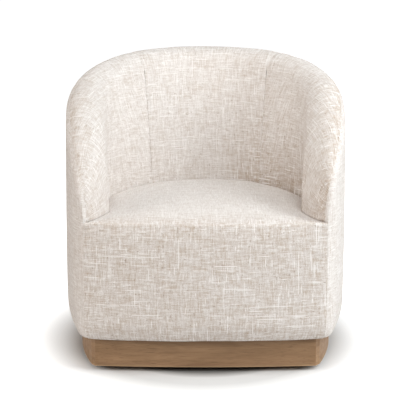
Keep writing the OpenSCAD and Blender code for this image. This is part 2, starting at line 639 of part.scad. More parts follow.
module centre_pivot() color("silver") translate([0, 0, lower_z]) rotate_extrude($fn = round_faces) polygon([
    [0, -riser_t], [washer_r, -riser_t], [washer_r, 0], [pivot_r, 0], [pivot_r, pivot_top - lower_z],
    [washer_r, pivot_top - lower_z], [washer_r, pivot_top - lower_z + washer_t],
    [head_r, pivot_top - lower_z + washer_t], [head_r, pivot_top - lower_z + head_h],
    [0, pivot_top - lower_z + head_h]]);
pivot_top = board_z + board_t + turn_gap;
module ball_cage() color("gold") difference() {
    translate([0, 0, ball_z - cage_t/2]) linear_extrude(cage_t) difference() {
        circle(ball_circle + ball_d, $fn = round_faces);
        circle(ball_circle - ball_d, $fn = round_faces);
    }
    balls(ball_d/2 + race_clear/2);
}
module balls(r) for (i = [0:ball_n - 1]) rotate(360/ball_n*i) translate([ball_circle, 0, ball_z])
    sphere(r, $fn = small_faces);
module bearing_balls() color("silver") balls(ball_d/2);
module upper_plate() color("gray") difference() {
    translate([0, 0, upper_z]) cylinder(plate_t, r = plate_r, $fn = round_faces);
    pivot_hole(upper_z, plate_t);
    race(ball_z);
    bolt_holes(upper_bolt_circle, upper_z - overrun, upper_z + plate_t + overrun, bolt_r);
}
module upper_bolts() color("silver") {
    bolt_holes(upper_bolt_circle, upper_z, board_z + bolt_len, bolt_r);
    bolt_holes(upper_bolt_circle, upper_z - bolt_head_h, upper_z, bolt_head_r);
}

glide_pads();
base_disc();
base_riser();
lower_plate();
lower_bolts();
centre_pivot();
ball_cage();
bearing_balls();
upper_plate();
upper_bolts();
mount_board();
plinth_cleats();
plinth_front();
plinth_side_left();
plinth_side_right();
plinth_back_splice();
plinth_corner_blocks();
base_frame();
dust_cover();
front_posts();
arm_posts();
back_posts();
seat_rail_front();
seat_rail_back();
seat_rail_sides();
seat_corner_blocks();
top_rail_back();
arm_rail_left();
arm_rail_right();
inner_panel_left();
inner_panel_right();
back_webbing();
seat_springs();
spring_clips();
spring_cover();
outer_liner_back();
outer_liner_left();
outer_liner_right();
front_liner();
outside_back();
outside_arm_left();
outside_arm_right();
inside_back();
inside_arm_left();
inside_arm_right();
seat_cushion();
front_panel();
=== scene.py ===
"""Looks of the upholstered swivel barrel chair: seamed fabric panels, a wood plinth and a steel
swivel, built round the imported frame. Metres, +Z up, front towards -Y."""

import json
import math

import bpy
import numpy as np
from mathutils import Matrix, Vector


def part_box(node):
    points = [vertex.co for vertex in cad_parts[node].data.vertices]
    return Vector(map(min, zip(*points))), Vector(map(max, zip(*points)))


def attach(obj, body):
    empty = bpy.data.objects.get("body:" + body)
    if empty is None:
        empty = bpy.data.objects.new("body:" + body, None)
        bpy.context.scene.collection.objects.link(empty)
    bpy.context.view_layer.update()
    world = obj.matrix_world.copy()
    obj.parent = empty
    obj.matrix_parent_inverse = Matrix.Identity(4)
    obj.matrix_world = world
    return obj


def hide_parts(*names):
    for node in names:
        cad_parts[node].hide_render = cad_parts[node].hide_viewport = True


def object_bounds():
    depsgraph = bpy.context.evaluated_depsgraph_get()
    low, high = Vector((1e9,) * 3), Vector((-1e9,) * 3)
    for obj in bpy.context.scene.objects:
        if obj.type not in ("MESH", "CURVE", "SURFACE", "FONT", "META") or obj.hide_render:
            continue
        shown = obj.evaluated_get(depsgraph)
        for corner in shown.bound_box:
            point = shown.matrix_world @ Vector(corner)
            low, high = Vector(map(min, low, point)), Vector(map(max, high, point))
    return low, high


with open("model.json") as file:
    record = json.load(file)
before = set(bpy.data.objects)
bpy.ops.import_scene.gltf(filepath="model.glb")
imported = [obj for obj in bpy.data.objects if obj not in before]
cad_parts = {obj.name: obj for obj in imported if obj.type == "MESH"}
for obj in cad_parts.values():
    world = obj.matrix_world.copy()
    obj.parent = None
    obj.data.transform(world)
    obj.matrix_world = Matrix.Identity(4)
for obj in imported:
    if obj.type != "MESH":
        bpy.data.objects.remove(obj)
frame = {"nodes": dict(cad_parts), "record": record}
cad_low, cad_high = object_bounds()

# Body sizes, read from the frame
CHAIR_W = round(cad_high.x - cad_low.x, 4)
CHAIR_D = round(2 * cad_high.y, 4)
CHAIR_H = round(cad_high.z, 4)
HEM_Z = round(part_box("outside_back")[0].z, 4)
SEAT_Z = round(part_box("front_panel")[1].z, 4)
FOOT_Z = SEAT_Z + 0.0004

# Plan outline of the body: back arc, side arc, corner arc, front bow
SIDE_R = 1.32
BOW_RISE = 0.026
CORNER_R = 0.09
CORNER_TURN = math.radians(30)
HEM_TUCK = 0.014
HEM_RISE = 0.06

# Wall: thickness, lumbar padding, and the rim's arcs along the wall
WALL_T = 0.11
LUMBAR_T = 0.094
LUMBAR_POWER = 2.2
CREST_R = 4.5
CREST_HALF = 0.18
ARM_Z = 0.414
NOSE_OUTER_R = 0.195
SEAM_PHI = math.radians(35)
CROWN_T = 0.005
CROWN_SHARE = 0.8
LAG_START_SHARE = 0.1
LAG_SHARE = 1.4
LAG_POWER = 1.5
FOOT_BULGE_SHARE = 0.25
FOOT_BACK_SHARE = 0.55
OUTER_SPLIT_TURN = math.radians(55)
BACK_SEAM_TOP = math.radians(39)
BACK_SEAM_LOW = math.radians(48)
INSIDE_FOOT_Z = 0.362
FOOT_LAP = 0.022
FOOT_LEAN = 0.35

# Seat and front panel
SEAT_CROWN = 0.027
SEAT_SIDE_SHARE = 1.19
SEAT_BACK_SHARE = 0.47
SEAT_EDGE_H = 0.015
SEAT_EDGE_R = 0.04
SEAM_START_SHARE = 0.01
FRONT_RISE = 0.28 * CHAIR_D
BELLY_T = 0.004

# Fabric: seams, mesh pitch and thickness
SEAM_GAP = -0.0002
SEAM_R = 0.0016
SEAM_SOFT = 0.0014
SEAM_SOFT_W = 0.01
SKIN_T = 0.006
PITCH = 0.005
RUFFLE_PITCH = 0.003
RUFFLE_SIZE = 0.008
SLOW_WAVES = ((0.0011, 0.11), (0.0005, 0.045))  # height and size
GATHER_REACH = 0.028
GATHER_SIZE = 0.017
SEAM_CALM_W = 0.006
NO_SEAM = 1.0
EDGE_ROLL = 0.012
EDGE_TURN = math.pi / 4
EDGE_SETBACK = EDGE_ROLL * (1 - math.cos(EDGE_TURN))
DROP_ROWS = 72
EDGE_STEPS = np.array([0, 0.0004, 0.001, 0.0019, 0.0032, 0.0052, 0.0082, 0.0122])
WALL_SPAN = 0.55
ROLL_START_PHI = 0.02
INSIDE_ROUNDS = 12
SIDE_TUCK_SHARE = 0.75

BACK_R = CHAIR_W / 2
BACK_Y = CHAIR_D / 2 - BACK_R
FRONT_Y = -CHAIR_D / 2
LEVER = (SIDE_R - CORNER_R + CORNER_R * math.cos(CORNER_TURN), CORNER_R * math.sin(CORNER_TURN))
SIDE_TURN = math.asin((BACK_Y - FRONT_Y - BOW_RISE) / math.hypot(*LEVER)) - math.atan2(LEVER[1], LEVER[0])
SIDE_X = BACK_R - SIDE_R
CORNER_X = SIDE_X + (SIDE_R - CORNER_R) * math.cos(SIDE_TURN)
CORNER_Y = BACK_Y - (SIDE_R - CORNER_R) * math.sin(SIDE_TURN)
SEAM_TURN = math.pi / 2 + SIDE_TURN + CORNER_TURN
BACK_LEN = BACK_R * math.pi / 2
SIDE_LEN = SIDE_R * SIDE_TURN
SEAM_S = BACK_LEN + SIDE_LEN + CORNER_R * CORNER_TURN


def smooth(t):
    t = np.clip(t, 0, 1)
    return t * t * (3 - 2 * t)


def mix(a, b, t):
    return a + (b - a) * t


def turn_at(s):
    """Direction that the outline faces at the arc length s from the back centre."""
    return np.where(
        s < BACK_LEN, s / BACK_R,
        np.where(s < BACK_LEN + SIDE_LEN, math.pi / 2 + (s - BACK_LEN) / SIDE_R,
                 math.pi / 2 + SIDE_TURN + (s - BACK_LEN - SIDE_LEN) / CORNER_R))


def plan_at(s, w):
    """Plan point at the arc length s, the distance w inside the outline."""
    a = np.abs(s)
    turn = turn_at(a)
    back, side = a < BACK_LEN, a < BACK_LEN + SIDE_LEN
    cx = np.where(back, 0, np.where(side, SIDE_X, CORNER_X))
    cy = np.where(back, BACK_Y, np.where(side, BACK_Y, CORNER_Y))
    r = np.where(back, BACK_R, np.where(side, SIDE_R, CORNER_R)) - w
    x, y = cx + r * np.sin(turn), cy + r * np.cos(turn)
    return np.where(s < 0, -x, x), y


SEAM_X, SEAM_Y = (float(v) for v in plan_at(np.array(SEAM_S), 0))
BOW_R = (SEAM_X ** 2 + (SEAM_Y - FRONT_Y) ** 2) / (2 * (SEAM_Y - FRONT_Y))


def bow_y(x):
    return FRONT_Y + BOW_R - np.sqrt(BOW_R ** 2 - np.minimum(np.abs(x), SEAM_X) ** 2)


# Rim: the spine runs inside the roll, and q is the distance along it
ROLL_R = WALL_T / 2
NOSE_R = NOSE_OUTER_R - ROLL_R
NOSE_S = SEAM_S - NOSE_R
CREST_TURN = math.asin(CREST_HALF / (CREST_R - ROLL_R))
CREST_Z = CHAIR_H - CREST_R
CREST_DIR = np.array([math.sin(CREST_TURN), math.cos(CREST_TURN)])
NOSE_REACH = np.array([NOSE_S, ARM_Z]) - [0, CREST_Z] - (CREST_R - NOSE_OUTER_R) * CREST_DIR
SHOULDER_R = NOSE_OUTER_R - NOSE_REACH @ NOSE_REACH / (2 * NOSE_REACH @ CREST_DIR)
SHOULDER_C = np.array([0, CREST_Z]) + (CREST_R - SHOULDER_R) * CREST_DIR
NOSE_TURN = math.asin((NOSE_S - SHOULDER_C[0]) / (SHOULDER_R - NOSE_OUTER_R))
CREST_LEN = (CREST_R - ROLL_R) * CREST_TURN
SHOULDER_LEN = (SHOULDER_R - ROLL_R) * (NOSE_TURN - CREST_TURN)
RIM_LEN = CREST_LEN + SHOULDER_LEN
NOSE_LEN = NOSE_R * (math.pi / 2 - NOSE_TURN)
SPINE_LEN = RIM_LEN + NOSE_LEN + ARM_Z - FOOT_Z


def spine(q):
    """Arc length s, height z and outward direction of the rim at the distance q >= 0."""
    crest, shoulder = q < CREST_LEN, q < RIM_LEN
    a = np.where(crest, q / CREST_LEN * CREST_TURN,
                 np.where(shoulder, mix(CREST_TURN, NOSE_TURN, (q - CREST_LEN) / SHOULDER_LEN),
                          mix(NOSE_TURN, math.pi / 2, np.minimum(1, (q - RIM_LEN) / NOSE_LEN))))
    cs = np.where(crest, 0, np.where(shoulder, SHOULDER_C[0], NOSE_S))
    cz = np.where(crest, CREST_Z, np.where(shoulder, SHOULDER_C[1], ARM_Z))
    r = np.where(crest, CREST_R - ROLL_R, np.where(shoulder, SHOULDER_R - ROLL_R, NOSE_R))
    return cs + r * np.sin(a), cz + r * np.cos(a), a


SPINE_TABLE = np.linspace(0, RIM_LEN + NOSE_LEN, 4000)


def q_at(s):
    """Distance along the spine at the arc length s, with its sign."""
    return np.sign(s) * np.interp(np.abs(s), spine(SPINE_TABLE)[0], SPINE_TABLE)


def spine_z(s):
    return spine(np.abs(q_at(s)))[1]


def bulge(q):
    taper = mix(1, FOOT_BULGE_SHARE, smooth((q - RIM_LEN) / (SPINE_LEN - RIM_LEN)))
    return ROLL_R * taper - FOOT_LEAN * np.maximum(0, q - SPINE_LEN)


LAG_S = BACK_LEN + SIDE_LEN * LAG_START_SHARE


def inner_s(s):
    """The inner face lags behind the outer one towards the seam, so the arm ends in a slope."""
    late = np.clip((np.abs(s) - LAG_S) / (SEAM_S - LAG_S), 0, 1)
    return s - np.sign(s) * WALL_T * LAG_SHARE * late ** LAG_POWER


def lumbar(s, z):
    a = np.minimum(math.pi / 2, turn_at(np.abs(s))) / (math.pi / 2)
    top = spine_z(s)
    return LUMBAR_T * (1 - a ** LUMBAR_POWER) * np.clip((top - z) / (top - SEAT_Z), 0, 1)


def wall_pt(s, z, w):
    ax, ay = plan_at(s, 0)
    bx, by = plan_at(inner_s(s), WALL_T)
    return np.stack(np.broadcast_arrays(mix(ax, bx, w / WALL_T), mix(ay, by, w / WALL_T), z), -1)


def tuck(z):
    h = np.clip((z - HEM_Z) / HEM_RISE, 0, 1)
    return HEM_TUCK * (1 - np.sqrt(1 - (1 - h) ** 2))


def roll_pt(q, phi, d=0.0):
    """Point of the rim roll at the angle phi, the distance d below its skin."""
    side = np.where(q < 0, -1.0, 1.0)
    s, z, a = spine(np.abs(q))
    n = (bulge(np.abs(q)) - d) * np.sin(phi)
    reach = s + n * np.sin(a)
    over = np.maximum(0, reach - SEAM_S)
    w = ROLL_R * (1 - np.cos(phi)) + d * np.cos(phi)
    p = wall_pt(side * np.minimum(reach, SEAM_S), z + n * np.cos(a), w)
    p[..., 0] += over * side * math.sin(SEAM_TURN + math.pi / 2)
    p[..., 1] += over * math.cos(SEAM_TURN + math.pi / 2)
    return p


def hashed(ix, iy, iz, seed):
    """A fixed value from -1 to 1 for each cell of a lattice."""
    h = (ix * 374761393 + iy * 668265263 + iz * 2147483647 + seed * 1274126177) & 0xFFFFFFFF
    h = ((h ^ (h >> 13)) * 1103515245) & 0xFFFFFFFF
    return ((h ^ (h >> 16)) & 0xFFFF) / 32767.5 - 1


NOISE_SHIFT = 100


def noise(p, size, seed):
    """Smooth noise from -1 to 1 at the points p, with features of the given size."""
    g = np.asarray(p, float) / size + NOISE_SHIFT
    i = np.floor(g).astype(np.int64)
    f = g - i
    f = f * f * (3 - 2 * f)
    total = 0
    for c in np.ndindex(2, 2, 2):
        weight = np.prod([f[..., k] if c[k] else 1 - f[..., k] for k in range(3)], axis=0)
        total = total + weight * hashed(i[..., 0] + c[0], i[..., 1] + c[1], i[..., 2] + c[2], seed)
    return total


def spaced(length, both=True, pitch=PITCH):
    """Distances from 0 to length: fine next to a seam, and the mesh pitch elsewhere."""
    end = EDGE_STEPS[-1] if both else 0
    n = max(2, round((length - EDGE_STEPS[-1] - end) / pitch))
    middle = np.linspace(EDGE_STEPS[-1], length - end, n + 1)[1:(-1 if both else None)]
    return np.concatenate([EDGE_STEPS, middle, length - EDGE_STEPS[::-1]] if both else [EDGE_STEPS, middle])


def along(p, axis):
    """Cumulative length of the grid's lines along the axis."""
    step = np.linalg.norm(np.diff(p, axis=axis), axis=-1)
    zero = np.zeros_like(np.take(step, [0], axis=axis))
    return np.concatenate([zero, np.cumsum(step, axis=axis)], axis=axis)


def normals(p):
    n = np.cross(np.gradient(p, axis=0), np.gradient(p, axis=1))
    return n / np.maximum(np.linalg.norm(n, axis=-1, keepdims=True), 1e-12)


def relax(p, rounds):
    """Evens out the grid inside its border."""
    for _ in range(rounds):
        q = p.copy()
        q[1:-1, 1:-1] = (p[:-2, 1:-1] + p[2:, 1:-1] + p[1:-1, :-2] + p[1:-1, 2:]) / 4
        p = mix(p, q, 0.5)
    return p


def seam_dip(dist):
    """How far the skin lies below its own surface at a distance from a knife seam."""
    t = np.clip(dist / SEAM_R, 0, 1)
    return SEAM_R * (1 - np.sqrt(1 - (1 - t) ** 2)) + SEAM_SOFT * np.exp(-(dist / SEAM_SOFT_W) ** 2)


SIM_PITCH = 0.011
SIM_DEPTH = 0.03
SIM_FRAMES = 20
CLOTH_STIFFNESS = 60
SWELL_SHAPE = 2.0
LIFT_ROUNDS = 8


def shell_faces(n, m):
    """Faces of a closed shell between two grids: the top, the underside and the rim."""
    index = np.arange(n * m).reshape(n, m)
    top = np.stack([index[:-1, :-1], index[1:, :-1], index[1:, 1:], index[:-1, 1:]], -1).reshape(-1, 4)
    ring = np.concatenate([index[0, :-1], index[:-1, -1], index[-1, :0:-1], index[:0:-1, 0]])
    after = np.roll(ring, -1)
    sides = np.stack([ring, after, after + n * m, ring + n * m], -1)
    return np.concatenate([top, top[:, ::-1] + n * m, sides])


def shell(name, top, under, out):
    """Closed mesh object between two grids, with its faces turned outwards."""
    faces = shell_faces(*top.shape[:2])
    mesh = bpy.data.meshes.new(name)
    mesh.from_pydata(np.concatenate([top.reshape(-1, 3), under.reshape(-1, 3)]).tolist(), [],
                     (faces[:, ::-1] if out < 0 else faces).tolist())
    mesh.polygons.foreach_set("use_smooth", np.ones(len(faces), bool))
    piece = bpy.data.objects.new(name, mesh)
    bpy.context.scene.collection.objects.link(piece)
    return piece


def coarse_lines(skin, axis):
    """Rows or columns of the grid that lie about one simulation step apart."""
    at = along(skin, axis).mean(1 - axis)
    kept = [0]
    for i in range(1, len(at) - 1):
        if at[i] - at[kept[-1]] >= SIM_PITCH and at[-1] - at[i] >= SIM_PITCH / 2:
            kept.append(i)
    return np.array(kept + [len(at) - 1])


def start_cloth(spec):
    """A coarse copy of the skin, sewn down at its edges, that the pad's pressure lifts."""
    rows, cols = (coarse_lines(spec["skin"], axis) for axis in (0, 1))
    top = spec["skin"][np.ix_(rows, cols)]
    normal = (normals(spec["skin"]) * spec["out"])[np.ix_(rows, cols)]
    piece = shell(spec["name"] + "_pad", top, top - normal * SIM_DEPTH, spec["out"])
    n, m = top.shape[:2]
    index = np.arange(n * m).reshape(n, m)
    sewn = set(index[[0, -1]].ravel()) | set(index[:, [0, -1]].ravel()) | set(range(n * m, 2 * n * m))
    group = piece.vertex_groups.new(name="sewn")
    group.add([int(i) for i in sewn], 1.0, "REPLACE")
    modifier = piece.modifiers.new("cloth", "CLOTH")
    modifier.collision_settings.use_collision = False
    cloth = modifier.settings
    cloth.vertex_group_mass = "sewn"
    cloth.use_pressure = True
    cloth.uniform_pressure_force = spec["pressure"]
    cloth.effector_weights.gravity = 0
    cloth.shrink_min = spec["slack"]
    cloth.tension_stiffness = cloth.compression_stiffness = CLOTH_STIFFNESS
    return piece, top, normal, rows, cols


def billow(specs):
    """Runs all pads together and gives each fine skin its lift, in metres along its normal."""
    pads = [start_cloth(spec) for spec in specs]
    scene = bpy.context.scene
    for step in range(1, SIM_FRAMES + 1):
        scene.frame_set(step)
    graph = bpy.context.evaluated_depsgraph_get()
    for spec, (piece, top, normal, rows, cols) in zip(specs, pads):
        moved = np.zeros(len(piece.data.vertices) * 3)
        piece.evaluated_get(graph).data.vertices.foreach_get("co", moved)
        moved = moved.reshape(-1, 3)[:top.shape[0] * top.shape[1]].reshape(top.shape)
        lift = ((moved - top) * normal).sum(-1)
        lift = spec["cap"] * np.tanh(SWELL_SHAPE * lift / np.abs(lift).max())
        n, m = spec["skin"].shape[:2]
        wide = np.stack([np.interp(np.arange(m), cols, line) for line in lift])
        full = np.stack([np.interp(np.arange(n), rows, line) for line in wide.T], 1)
        spec["lift"] = relax(full[..., None], LIFT_ROUNDS)[..., 0]
    scene.frame_set(1)
    for piece, *_ in pads:
        mesh = piece.data
        bpy.data.objects.remove(piece)
        bpy.data.meshes.remove(mesh)


def panel(spec):
    """A closed padded piece: the skin grid with sewn edges, and an underside below it."""
    skin, out, seed = spec["skin"], spec["out"], spec["seed"]
    normal = normals(skin) * out
    down, across = along(skin, 0), along(skin, 1)
    reach = {"top": down, "start": across, "end": across[:, -1:] - across}
    dist = np.min([reach[edge] for edge in spec["seams"]] + [np.full(down.shape, NO_SEAM)], axis=0)
    uneven = sum(height * noise(skin, size, seed + k) for k, (height, size) in enumerate(SLOW_WAVES))
    gathers = spec["pucker"] * np.exp(-dist / GATHER_REACH) * noise(skin, GATHER_SIZE, seed + 2)
    for edge, height, fade, slant, share in spec["ruffles"]:
        run = across if edge == "top" else down
        line = (run + slant * reach[edge])[..., None] * [1, 0, 0]
        gathers = gathers + height * share * np.exp(-reach[edge] / fade) * noise(line, RUFFLE_SIZE, seed + 3)
    lift = (uneven + gathers) * smooth(dist / SEAM_CALM_W)
    lift = lift - spec["groove"] * seam_dip(dist) + spec.get("lift", 0)
    piece = shell(spec["name"], skin + normal * lift[..., None], skin - normal * SKIN_T, out)
    grain = np.concatenate([spec["weave"].reshape(-1, 2)] * 2) + np.array(spec["shift"])
    cloth = piece.data.attributes.new("weave", "FLOAT_VECTOR", "POINT")
    vivid = np.tile(np.broadcast_to(spec["vivid"], skin.shape[:2]).ravel(), 2)
    cloth.data.foreach_set("vector", np.column_stack([grain, vivid]).astype(np.float32).ravel())
    piece.data.materials.append(upholstery)
    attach(piece, "chair")
    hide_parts(spec["node"])


def outside_skin(s0, s1):
    """Outer face from the hem up to the seam on the rim's roll."""
    s = s0 + spaced(s1 - s0)
    top = spine_z(s)
    share = spaced(WALL_SPAN)[:-len(EDGE_STEPS)] / WALL_SPAN
    z = HEM_Z + (top - HEM_Z)[None] * share[:, None] / share[-1]
    wall = wall_pt(s[None], z, tuck(z))
    arc = ROLL_R * SEAM_PHI
    phi = SEAM_PHI - (spaced(arc, both=False)[::-1] + SEAM_GAP) / ROLL_R
    phi = phi[phi > ROLL_START_PHI]
    roll = roll_pt(q_at(s)[None], phi[:, None])
    skin = np.concatenate([wall, roll])[::-1]
    turn = spine(np.abs(q_at(s)))[2]
    rise = along(roll, 0) + ROLL_R * phi[0]
    u = np.concatenate([np.broadcast_to(s, z.shape), s + np.sin(turn) * rise * np.sign(s)])
    v = np.concatenate([z, top + np.cos(turn) * rise])
    return skin, np.stack([u, v], -1)[::-1]


def inside_skin(q0, q1, foot0, foot1, pitch=PITCH):
    """Rim's roll from its seam and the padded inner face, down to the foot points behind the seat."""
    q = q0 + spaced(q1 - q0, pitch=pitch)
    t = ((q - q0) / (q1 - q0))[None]
    foot = mix(foot0[0], foot1[0], t), mix(foot0[1], foot1[1], t ** 3 if q0 > 0 else 0 * t)
    side = np.where(q < 0, -1.0, 1.0)
    s, z, turn = spine(np.abs(q))
    s = s * side
    arc = ROLL_R * (math.pi - SEAM_PHI)
    phi = SEAM_PHI + (spaced(arc, both=False) + SEAM_GAP) / ROLL_R
    roll = roll_pt(q[None], phi[:, None])
    v = np.linspace(0, 1, DROP_ROWS)[1:, None]
    ds, dz = mix(s[None], foot[0], v), mix(z[None], foot[1], v)
    crown = CROWN_T * np.sin(math.pi * np.clip(v / CROWN_SHARE, 0, 1))
    drop = wall_pt(ds, dz, WALL_T + lumbar(ds, dz) + crown)
    skin = relax(np.concatenate([roll, drop]), INSIDE_ROUNDS)
    # The cloth's threads run level round the wall, and carry on over the roll
    level = along(skin * [1, 1, 0], 1)
    fixed = np.argmin(np.abs(s - (0 if q0 < 0 else BACK_LEN)))
    level = level - level[:, fixed:fixed + 1] + (0 if q0 < 0 else BACK_LEN)
    base = len(roll) - 1
    rise = along(skin[base::-1], 0)[::-1]
    u = np.concatenate([level[base] + np.sin(turn) * rise * side, level[base + 1:]])
    w = np.concatenate([skin[base, :, 2] + np.cos(turn) * rise, skin[base + 1:, :, 2]])
    return skin, np.stack([u, w], -1)


def coons(front, right, back, left):
    """A grid between four edge lines: front and back run left to right, the sides front to back."""
    n, m = len(right), len(front)
    u, v = np.linspace(0, 1, m)[None, :, None], np.linspace(0, 1, n)[:, None, None]
    sides = left[:, None] * (1 - u) + right[:, None] * u
    ends = front[None] * (1 - v) + back[None] * v
    corners = (front[0] * (1 - u) + front[-1] * u) * (1 - v) + (back[0] * (1 - u) + back[-1] * u) * v
    return sides + ends - corners


def even(points, count):
    """The line through the points, divided into even steps."""
    length = along(points[:, None], 0)[:, 0]
    at = np.linspace(0, length[-1], count)
    return np.stack([np.interp(at, length, points[:, k]) for k in range(points.shape[1])], -1)


SEAT_SPLIT = BACK_R * math.radians(42)
SEAT_GRID = 121
SEAT_GAP = 0.001
SEAT_COLUMN = 50
SEAT_FRONT_FADE = 0.02
WALL_SAMPLES = 200
ROLL_SAMPLES = 60


def seat_height(x, y, dist):
    """Height of the domed seat, which starts at 45 degrees from the front seam."""
    ahead = y - bow_y(x) - EDGE_SETBACK
    rise = np.clip(ahead / FRONT_RISE + SEAM_START_SHARE, 0, 1)
    front = np.sqrt(1 - (1 - rise) ** 2) - math.sqrt(1 - (1 - SEAM_START_SHARE) ** 2)
    dome = (1 - SEAT_SIDE_SHARE * (x / (BACK_R - WALL_T)) ** 2
            - SEAT_BACK_SHARE * (np.maximum(0, y - BACK_Y) / (BACK_R - WALL_T - LUMBAR_T)) ** 2)
    t = np.clip(dist / SEAT_EDGE_R, 0, 1)
    fall = (1 - np.sqrt(1 - (1 - t) ** 2)) * smooth((y - FRONT_Y - FRONT_RISE / 2) / FRONT_RISE)
    crown = front * np.maximum(0, dome) + rise * np.minimum(0, dome)
    return SEAT_Z + SEAT_CROWN * crown - SEAT_EDGE_H * fall


def seat_skin():
    """Crowned top of the seat, in the outline that the arms, the back and the front bow leave."""
    def wall_line(start, end):
        s = np.linspace(start, end, WALL_SAMPLES)
        return wall_pt(s, SEAT_Z, WALL_T + lumbar(s, np.full_like(s, SEAT_Z)) + SEAT_GAP)[:, :2]

    phi = np.linspace(SEAM_PHI, math.pi, ROLL_SAMPLES)
    roll = roll_pt(np.full_like(phi, SPINE_LEN), phi, -SEAT_GAP)[:, :2]
    corner = np.array([[roll[0, 0], bow_y(roll[0, 0]) + EDGE_SETBACK]])
    right = even(np.concatenate([corner, roll, wall_line(SEAM_S, SEAT_SPLIT)[1:]]), SEAT_GRID)
    back = even(wall_line(-SEAT_SPLIT, SEAT_SPLIT), SEAT_GRID)
    x = np.linspace(-right[0, 0], right[0, 0], SEAT_GRID)
    front = even(np.stack([x, bow_y(x) + EDGE_SETBACK], -1), SEAT_GRID)
    plan = coons(front, right, back, right * [-1, 1])
    reach = along(plan, 0)
    length, column = reach[-1].mean(), reach[:, SEAT_COLUMN]
    rows = np.interp(spaced(length) / length * column[-1], column, np.arange(len(plan)))
    low = np.minimum(rows.astype(int), len(plan) - 2)
    plan = mix(plan[low], plan[low + 1], (rows - low)[:, None, None])
    flat = np.concatenate([plan, np.zeros(plan.shape[:2] + (1,))], -1)
    down, across = along(flat, 0), along(flat, 1)
    sides = np.minimum(across, across[:, -1:] - across)
    dist = np.minimum(sides + np.exp(-down / SEAT_FRONT_FADE), down[-1:] - down)
    z = seat_height(plan[..., 0], plan[..., 1], dist)
    skin = np.concatenate([plan, z[..., None]], -1)
    return skin, np.stack([plan[..., 0], along(skin, 0) + FRONT_Y], -1)


def front_skin():
    """Bulging front panel, whose top edge rolls back to the seam with the seat."""
    x = -SEAM_X + SEAM_GAP + spaced(2 * (SEAM_X - SEAM_GAP))
    edge_z = SEAT_Z - EDGE_ROLL * math.sin(EDGE_TURN)
    up = spaced(edge_z - HEM_Z + EDGE_ROLL * EDGE_TURN, pitch=RUFFLE_PITCH)
    turn = np.maximum(0, up - (edge_z - HEM_Z)) / EDGE_ROLL
    z = np.where(turn > 0, edge_z + EDGE_ROLL * np.sin(turn), HEM_Z + up)
    t = (x / SEAM_X)[None]
    d = (tuck(z) + EDGE_ROLL * (1 - np.cos(turn)))[:, None]
    belly = BELLY_T * np.sin(math.pi * ((z - HEM_Z) / (SEAT_Z - HEM_Z)))[:, None] * (1 - t ** 2)
    px = t * (SEAM_X - SIDE_TUCK_SHARE * tuck(z)[:, None])
    skin = np.stack([px, bow_y(px) + d - belly, np.broadcast_to(z[:, None], px.shape)], -1)[::-1]
    return skin, np.stack(np.broadcast_arrays(x[None], HEM_Z + up[::-1, None]), -1)


class Graph:
    """A material's node tree, with short calls for the nodes that the materials share."""

    def __init__(self, name):
        self.material = bpy.data.materials.new(name)
        self.material.use_nodes = True
        self.tree = self.material.node_tree
        self.tree.nodes.clear()
        self.shader = self.tree.nodes.new("ShaderNodeBsdfPrincipled")
        out = self.tree.nodes.new("ShaderNodeOutputMaterial")
        self.tree.links.new(self.shader.outputs[0], out.inputs[0])

    def put(self, socket, value):
        if isinstance(value, bpy.types.NodeSocket):
            self.tree.links.new(value, socket)
        elif value is not None:
            socket.default_value = value

    def node(self, kind, inputs=(), out=0, **settings):
        n = self.tree.nodes.new("ShaderNode" + kind)
        for key, value in settings.items():
            setattr(n, key, value)
        for key, value in dict(inputs).items():
            self.put(n.inputs[key], value)
        return n.outputs[out]

    def attribute(self, name):
        return self.node("Attribute", attribute_name=name, out="Vector")

    def place(self):
        return self.node("TexCoord", out="Object")

    def scaled(self, vector, scale):
        return self.node("Mapping", {"Vector": vector, "Scale": scale})

    def split(self, vector):
        """The vector's three parts."""
        return self.node("SeparateXYZ", {0: vector}).node.outputs[:3]

    def noise(self, vector, scale, detail=2.0, rough=0.5):
        return self.node("TexNoise", {"Vector": vector, "Scale": scale, "Detail": detail, "Roughness": rough})

    def math(self, operation, a, b=None, clamp=False):
        return self.node("Math", {0: a, 1: b}, operation=operation, use_clamp=clamp)

    def remap(self, value, low, high, to_low=0.0, to_high=1.0):
        return self.node("MapRange", {"Value": value, "From Min": low, "From Max": high,
                                      "To Min": to_low, "To Max": to_high})

    def blend(self, factor, a, b):
        n = self.tree.nodes.new("ShaderNodeMix")
        n.data_type = "RGBA"
        for key, value in ((0, factor), (6, a), (7, b)):
            self.put(n.inputs[key], value)
        return n.outputs[2]

    def bump(self, height, distance, strength):
        return self.node("Bump", {"Height": height, "Distance": distance, "Strength": strength})

    def set(self, **inputs):
        for key, value in inputs.items():
            self.put(self.shader.inputs[key.replace("_", " ")], value)
        return self.material


def rgb(r, g, b):
    """A colour written as 0 to 255 display values."""
    return tuple((c / 255) / 12.92 if c <= 10 else ((c / 255 + 0.055) / 1.055) ** 2.4
                 for c in (r, g, b)) + (1,)


def dimmed(colour, share):
    return tuple(c * share for c in colour[:3]) + (1,)


# Weave: pitch of the threads, slubs and dashes, and how far each runs before it changes
THREAD, THREAD_RUN = 0.0025, 0.032
SLUB_PITCH, SLUB_RUNS = 0.003, (0.12, 0.08)
DASH_PITCH, DASH_RUN = 0.0026, 0.016
SLUB_SEED, DASH_SEED = 20.0, 40.0
SPECK_SCALE = 420.0
BLOTCH_SCALE = 30.0
TONE_MEAN = 1.5
PLAIN_VIVID = 0.6
QUIET_LIFT = 0.35
WEAVE_DEPTH = 0.0007


